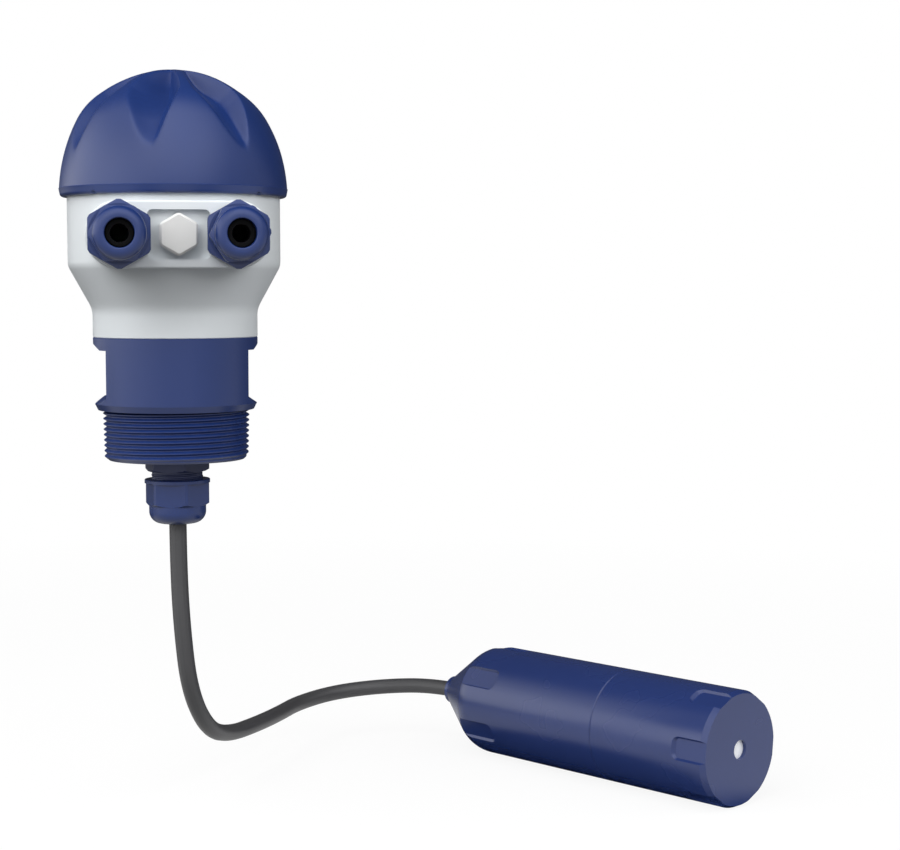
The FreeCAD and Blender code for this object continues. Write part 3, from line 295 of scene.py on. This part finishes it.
# how deep a scoop is, this far down the dome from the apex and this far aside from its middle line
def scoopDepth(down, aside, r):
    run = down - capScoop["deepest"]
    reach = capScoop["tip"] - capScoop["deepest"] if run > 0 else capScoop["deepest"] - capScoop["top"]
    along = run / reach
    spread = min(1, max(0, (capScoop["tip"] - down) / capScoop["widest"]))
    width = capScoop["halfWidth"] * (capScoop["tipShare"] + (1 - capScoop["tipShare"]) * spread)
    width = min(width, capScoop["ridgeShare"] * r * math.pi / capScoop["count"])
    width = max(capScoop["leastWidth"], width)
    # a soft slope on one side of the deepest line, a steep one on the other
    off = aside / width - capScoop["aside"]
    across = off / (1 - capScoop["aside"] if off > 0 else 1 + capScoop["aside"])
    inside = capScoop["depth"] * (1 - abs(along) ** capScoop["floor"] - across ** 2)
    return (inside + math.hypot(inside, capScoop["edge"])) / 2  # the edge is rounded a little


# the angle from the nearest of several places round the axis
def fromNearest(angle, spots):
    pitch = math.tau / spots["count"]
    turned = (angle - math.radians(spots["azimuth"])) % pitch
    return turned if turned < pitch / 2 else turned - pitch


# scoops pressed into both sides of the wall, towards one point, and notches cut in the foot
def pressCap(cap, outside, lower, inside):
    outline = outside + lower + inside
    downTo = [0.0]
    for (r, z), (nextR, nextZ) in zip(outline, outline[1:]):
        downTo.append(downTo[-1] + math.hypot(nextR - r, nextZ - z))
    innerStart = len(outline) - len(inside)
    middle = Vector((0, 0, capShape["middleZ"])) * mm
    notchTop = capShape["low"] + capNotch["height"]
    for index, vertex in enumerate(cap.data.vertices):
        point = index % len(outline)
        r, z = outline[point]
        angle = math.atan2(vertex.co.y, vertex.co.x)
        atFoot = r > capShape["skirtR"] and z < notchTop
        if atFoot and abs(r * fromNearest(angle, capNotch)) < capNotch["width"] / 2:
            vertex.co.z = notchTop * mm
        elif point < len(outside) or point >= innerStart:
            down = downTo[point] if point < len(outside) else downTo[-1] - downTo[point]
            depth = scoopDepth(down, r * math.sin(fromNearest(angle, capScoop)), r)
            inward = (middle - vertex.co).normalized()
            vertex.co += inward * depth * mm


def makeCap():
    bpy.ops.object.select_all(action="DESELECT")
    outside, lower, inside = capOutline()
    outline = outside + lower + inside
    bpy.ops.mesh.primitive_circle_add(vertices=len(outline), fill_type="NOTHING")
    cap = bpy.context.object
    cap.name = "dome_cap_surface"
    for vertex, (r, z) in zip(cap.data.vertices, outline):
        vertex.co = (r * mm, 0, z * mm)
    # the edge on the axis, between the two apexes, goes
    bpy.ops.object.mode_set(mode="EDIT")
    bpy.ops.mesh.select_all(action="DESELECT")
    bpy.ops.object.mode_set(mode="OBJECT")
    for apex in (0, len(outline) - 1):
        cap.data.vertices[apex].select = True
    bpy.ops.object.mode_set(mode="EDIT")
    bpy.ops.mesh.delete(type="EDGE")
    bpy.ops.object.mode_set(mode="OBJECT")
    windRound(cap, capShape["steps"])
    pressCap(cap, outside, lower, inside)
    bpy.ops.object.mode_set(mode="EDIT")
    bpy.ops.mesh.select_all(action="SELECT")
    bpy.ops.mesh.remove_doubles(threshold=mergeGap)
    bpy.ops.mesh.normals_make_consistent(inside=False)
    bpy.ops.object.mode_set(mode="OBJECT")
    bpy.ops.object.shade_smooth_by_angle(angle=shadeAngle)
    giveMaterial(cap, bluePvc)
    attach(cap, "cap")
    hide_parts("dome_cap")


makeCap()
print("cap pressed")


# thread ridges, wound up along Z and then set along their own axis
def threadRidge(name, body, material, shape):
    bpy.ops.object.select_all(action="DESELECT")
    root, crest = shape["rootR"] * mm, shape["crestR"] * mm
    foot, tip = shape["footWidth"] * mm / 2, shape["tipWidth"] * mm / 2
    bpy.ops.mesh.primitive_plane_add(size=1, location=(0, 0, 0))
    ridge = bpy.context.object
    ridge.name = name
    corners = [(root, -foot), (crest, -tip), (root, foot), (crest, tip)]
    for vertex, (r, z) in zip(ridge.data.vertices, corners):
        vertex.co = (r, 0, z)
    windRound(ridge, shape["steps"], shape["turns"], shape["pitch"] * mm)
    # each step adds one ring of corners: the height fades in and out, and the crest follows the taper
    lastRing = shape["turns"] * shape["steps"]
    for index, vertex in enumerate(ridge.data.vertices):
        ring = index // len(corners)
        nearEnd = min(ring, lastRing - ring) / shape["steps"]
        height = min(1, nearEnd / shape["fadeTurns"])
        fall = shape["taper"] * mm * (1 - ring / lastRing)
        x, y, z = vertex.co
        r = math.hypot(x, y)
        wanted = root + (crest - fall - root) * height if r > (root + crest) / 2 else root
        vertex.co = (x / r * wanted, y / r * wanted, z)
    bpy.ops.object.mode_set(mode="EDIT")
    bpy.ops.mesh.select_all(action="SELECT")
    bpy.ops.mesh.normals_make_consistent(inside=False)
    bpy.ops.object.mode_set(mode="OBJECT")
    ridge.data.transform(shape["turn"])
    ridge.data.transform(Matrix.Translation(Vector(shape["base"]) * mm))
    bpy.ops.object.shade_smooth_by_angle(angle=shadeAngle)
    giveMaterial(ridge, material)
    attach(ridge, body)


upright = Matrix.Rotation(math.radians(90), 4, "Z")  # a thread starts at the back
forward = Matrix.Rotation(math.radians(90), 4, "X")
downward = Matrix.Rotation(math.radians(180), 4, "X")
# 2 inch taper pipe thread, 11.5 turns to the inch
pipeThread = {
    "rootR": 28.6, "crestR": 30.05, "pitch": inch / 11.5, "footWidth": 2.0, "tipWidth": 0.35,
    "turns": 9, "steps": 160, "taper": 0.5, "fadeTurns": 0.12, "base": (0, 0, -19.7), "turn": upright}
threadRidge("pipe_thread", "sensor_body", bluePvc, pipeThread)
# coarse thread of the housing's mouth, one turn for each 4 mm of the cap's lift
mouthThread = {
    "rootR": 40.6, "crestR": 40.98, "pitch": 4.0, "footWidth": 2.2, "tipWidth": 0.9,
    "turns": 2, "steps": 160, "taper": 0, "fadeTurns": 0.1, "base": (0, 0, 91.0), "turn": upright}
threadRidge("mouth_thread", "sensor_body", whiteAbs, mouthThread)
# fine threads of the gland necks, 1.5 mm apart
neckThread = {
    "pitch": 1.5, "footWidth": 1.4, "tipWidth": 0.25, "steps": 96, "taper": 0, "fadeTurns": 0.15}
frontNeck = {**neckThread, "rootR": 8.9, "crestR": 9.24, "turns": 5, "turn": forward}
bottomNeck = {
    **neckThread, "rootR": 10.3, "crestR": 10.64, "turns": 7, "base": (0, 0, -26.6), "turn": downward}
neckBases = {"left": (-22.9, -53.5, 70.8), "right": (22.9, -53.5, 70.8)}
for side, base in neckBases.items():
    threadRidge(f"{side}_neck_thread", "sensor_body", bluePvc, {**frontNeck, "base": base})
# the lower gland's neck thread gets the same PVC with its painted shade
threadRidge("bottom_neck_thread", "sensor_body", shadeDarkenedPvc, bottomNeck)
print("threads wound")

# the cable's route, in mm, from inside the lower gland to inside the probe's tail
cableRoute = {
    "diameter": 7.2, "exit": (0, 0, -47.5), "length": 308.6,
    "tail": (135.77, 109.1, -146.0), "tailYaw": 34.7, "straight": 13.0, "inside": 5.0,
    "order": 3, "stepsPerPoint": 24, "roundSteps": 8,
    "points": [
        (0, 0, -41), (0, 0, -64), (1.2, -1.5, -92), (4.2, 1.5, -119.5), (12.5, 18.5, -140),
        (23, 43, -148), (36.9, 65.7, -149.2), (49.4, 90.3, -150.3), (60.5, 115.5, -151.2),
        (80.5, 132, -150), (106.3, 133.5, -148.2)]}


def makeCable(route):
    yaw = math.radians(route["tailYaw"])
    tail = Vector(route["tail"])
    nose = Vector((math.sin(yaw), -math.cos(yaw), 0))
    ends = [tail - nose * route["straight"], tail + nose * route["inside"]]
    points = [Vector(point) * mm for point in route["points"] + ends]
    curve = bpy.data.curves.new("sensor_cable_line", "CURVE")
    curve.dimensions = "3D"
    spline = curve.splines.new("NURBS")
    spline.points.add(len(points) - 1)
    for knot, point in zip(spline.points, points):
        knot.co = (*point, 1)
    spline.order_u = route["order"]
    spline.use_endpoint_u = True
    spline.resolution_u = route["stepsPerPoint"]
    curve.bevel_depth = route["diameter"] * mm / 2
    curve.bevel_resolution = route["roundSteps"]
    curve.use_fill_caps = True
    cable = bpy.data.objects.new("sensor_cable_jacket", curve)
    bpy.context.scene.collection.objects.link(cable)
    giveMaterial(cable, cableJacket)
    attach(cable, "sensor_body")
    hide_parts("sensor_cable")


makeCable(cableRoute)
print("cable laid")

# the photograph's camera, in mm and pixels
view = {
    "place": (-28.35, -804.54, 52.28), "ahead": (0.1751, 0.9818, -0.0741),
    "right": (0.9845, -0.1756, -0.0012), "focalPx": 1926.62, "widthPx": 900, "sensor": 36, "near": 10}


def makeCamera():
    bpy.ops.object.camera_add()
    camera = bpy.context.object
    ahead = Vector(view["ahead"]).normalized()
    right = Vector(view["right"])
    right = (right - ahead * right.dot(ahead)).normalized()
    up = right.cross(ahead)
    turn = Matrix((right, up, -ahead)).transposed()
    camera.matrix_world = Matrix.Translation(Vector(view["place"]) * mm) @ turn.to_4x4()
    camera.data.sensor_fit = "HORIZONTAL"
    camera.data.sensor_width = view["sensor"]
    camera.data.lens = view["focalPx"] / view["widthPx"] * view["sensor"]
    camera.data.clip_start = view["near"] * mm
    bpy.context.scene.camera = camera


makeCamera()
print("camera placed")

# a white sweep: rays from the eye and from glossy walls see white, and the floor keeps a faint shadow
stage = {
    "floorZ": -171.2, "floorSize": 8000, "paper": "#FFFFFF", "bounce": "#4C4C4C",
    "probeBounce": "#D4D4D4", "shadowShare": 0.10, "shadowEdge": (450, 900),
    # probeSpot, probeYaw, probeShade and shadeEdge place a painted shade, an ellipse under the probe, in
    # what glossy walls mirror
    "probeSpot": (184.7, 38.4, 0), "probeYaw": 34.7, "probeShade": (45, 88, 1000),
    "shadeEdge": (1.0, 1.35), "bounceEdge": (1.6, 2.6), "floorBack": (130, 230),
    "room": 0.43, "baseSides": (1.0, 0.45), "card": 1.3, "cardEdge": (-0.2, -0.9),
    "cardTop": (0.35, 0.65), "soft": 1.3, "softToward": (0.12, -0.74, 0.66), "softEdge": (0.7, 0.95),
    "backToward": (0.2, 0.78, 0.59), "backEdge": (0.42, 0.66), "backShare": 0.1}
white = (1, 1, 1, 1)


# 1 where a ray shows a surface straight to the eye, and 1 where it does by reflection or through glass
def seenByEye(tree):
    rays = addNode(tree, "ShaderNodeLightPath")
    mirrored = addNode(tree, "ShaderNodeMath", {
        0: rays.outputs["Is Glossy Ray"], 1: rays.outputs["Is Transmission Ray"]},
        operation="ADD", use_clamp=True)
    return rays.outputs["Is Camera Ray"], mirrored.outputs[0]


# what the eye sees, what glossy walls mirror, and what lights the rest
def splitByRay(tree, seen, mirrored, lighting):
    byCamera, byMirror = seenByEye(tree)
    unseen = addNode(tree, "ShaderNodeMixShader", {0: byMirror, 1: lighting, 2: mirrored})
    mix = addNode(tree, "ShaderNodeMixShader", {0: byCamera, 1: unseen.outputs["Shader"], 2: seen})
    return mix.outputs["Shader"]


def combine(tree, operation, *values):
    return addNode(tree, "ShaderNodeMath", dict(enumerate(values)), operation=operation).outputs[0]


def combineVectors(tree, operation, *vectors):
    node = addNode(tree, "ShaderNodeVectorMath", dict(enumerate(vectors)), operation=operation)
    return node.outputs["Value"]


def inMetres(span):
    return [edge * mm for edge in span]


def makeFloor():
    bpy.ops.mesh.primitive_plane_add(size=stage["floorSize"] * mm, location=(0, 0, stage["floorZ"] * mm))
    floor = bpy.context.object
    floor.name = "floor"
    material, tree = newMaterial("whitePaper")
    spot = addNode(tree, "ShaderNodeTexCoord").outputs["Object"]
    away = combineVectors(tree, "LENGTH", spot)
    keep = remap(tree, away, inMetres(stage["shadowEdge"]), (stage["shadowShare"], 0.0))
    glow = addNode(tree, "ShaderNodeEmission", {"Color": white, "Strength": 1.0})
    paper = addNode(tree, "ShaderNodeBsdfDiffuse", {"Color": hexColour(stage["paper"])})
    seen = addNode(tree, "ShaderNodeMixShader", {
        0: keep, 1: glow.outputs["Emission"], 2: paper.outputs["BSDF"]})
    # glossy walls mirror white paper, with a painted shade in an ellipse under the probe, and darker
    # towards the back
    shade = addNode(tree, "ShaderNodeMapping", {
        "Vector": spot, "Location": Vector(stage["probeSpot"]) * mm,
        "Scale": Vector(stage["probeShade"]) * mm,
        "Rotation": (0, 0, math.radians(stage["probeYaw"]))}, vector_type="TEXTURE")
    fromShade = combineVectors(tree, "LENGTH", shade.outputs["Vector"])
    beyond = remap(tree, fromShade, stage["shadeEdge"])
    parts = addNode(tree, "ShaderNodeSeparateXYZ", {"Vector": spot})
    front = remap(tree, parts.outputs["Y"], inMetres(stage["floorBack"]), (1.0, stage["backShare"]))
    level = combine(tree, "MULTIPLY", beyond, front)
    mirrored = addNode(tree, "ShaderNodeEmission", {"Color": white, "Strength": level})
    # what lights the object from below: pale under the probe, grey elsewhere
    clear = remap(tree, fromShade, stage["bounceEdge"])
    bounce = addNode(tree, "ShaderNodeBsdfDiffuse", {
        "Color": blend(tree, clear, stage["probeBounce"], stage["bounce"])})
    surface = splitByRay(
        tree, seen.outputs["Shader"], mirrored.outputs["Emission"], bounce.outputs["BSDF"])
    addNode(tree, "ShaderNodeOutputMaterial", {"Surface": surface})
    giveMaterial(floor, material)


# the eye sees white all round; glossy walls mirror a card on the left, a soft box above and a dim back wall
def makeWorld():
    world = bpy.data.worlds.new("studio")
    bpy.context.scene.world = world
    world.use_nodes = True
    tree = world.node_tree
    tree.nodes.clear()
    direction = addNode(tree, "ShaderNodeTexCoord").outputs["Generated"]
    parts = addNode(tree, "ShaderNodeSeparateXYZ", {"Vector": direction})
    base = remap(tree, parts.outputs["X"], (-1.0, 1.0), stage["baseSides"])
    cardSide = remap(tree, parts.outputs["X"], stage["cardEdge"], (0.0, stage["card"]))
    cardHeight = remap(tree, parts.outputs["Z"], stage["cardTop"], (1.0, 0.0))
    withCard = combine(tree, "MULTIPLY_ADD", cardSide, cardHeight, base)
    toSoft = combineVectors(tree, "DOT_PRODUCT", direction, stage["softToward"])
    soft = remap(tree, toSoft, stage["softEdge"], (0.0, stage["soft"]))
    bright = combine(tree, "ADD", withCard, soft)
    toBack = combineVectors(tree, "DOT_PRODUCT", direction, stage["backToward"])
    back = remap(tree, toBack, stage["backEdge"], (1.0, stage["backShare"]))
    level = combine(tree, "MULTIPLY", bright, back)
    dimmed = combine(tree, "MULTIPLY", back, stage["room"])
    seen, mirrored, room = (
        addNode(tree, "ShaderNodeBackground", {"Color": white, "Strength": strength}).outputs["Background"]
        for strength in (1.0, level, dimmed))
    addNode(tree, "ShaderNodeOutputWorld", {"Surface": splitByRay(tree, seen, mirrored, room)})


# a soft box above and a long card on each side, in mm and watts
lampAim = Vector((60, 20, 0))
lamps = {
    "softBox": {"place": (-713, -753, 1302), "size": (1700, 1700), "power": 22.5},
    "leftCard": {"place": (-1134, -982, 900), "size": (3000, 1000), "power": 13.5},
    "rightCard": {"place": (1254, -982, 900), "size": (2600, 1000), "power": 18.5}}


def makeLamp(name, shape):
    place = Vector(shape["place"])
    bpy.ops.object.light_add(type="AREA", location=place * mm)
    lamp = bpy.context.object
    lamp.name = name
    lamp.data.shape = "RECTANGLE"
    lamp.data.size, lamp.data.size_y = inMetres(shape["size"])
    lamp.data.energy = shape["power"]
    lamp.visible_glossy = False  # the world holds what glossy walls mirror
    direction = (lampAim - place).normalized()
    lamp.rotation_euler = direction.to_track_quat("-Z", "Y").to_euler()


makeFloor()
makeWorld()
for name, shape in lamps.items():
    makeLamp(name, shape)
bpy.context.scene.view_settings.view_transform = "Standard"
print("stage set")
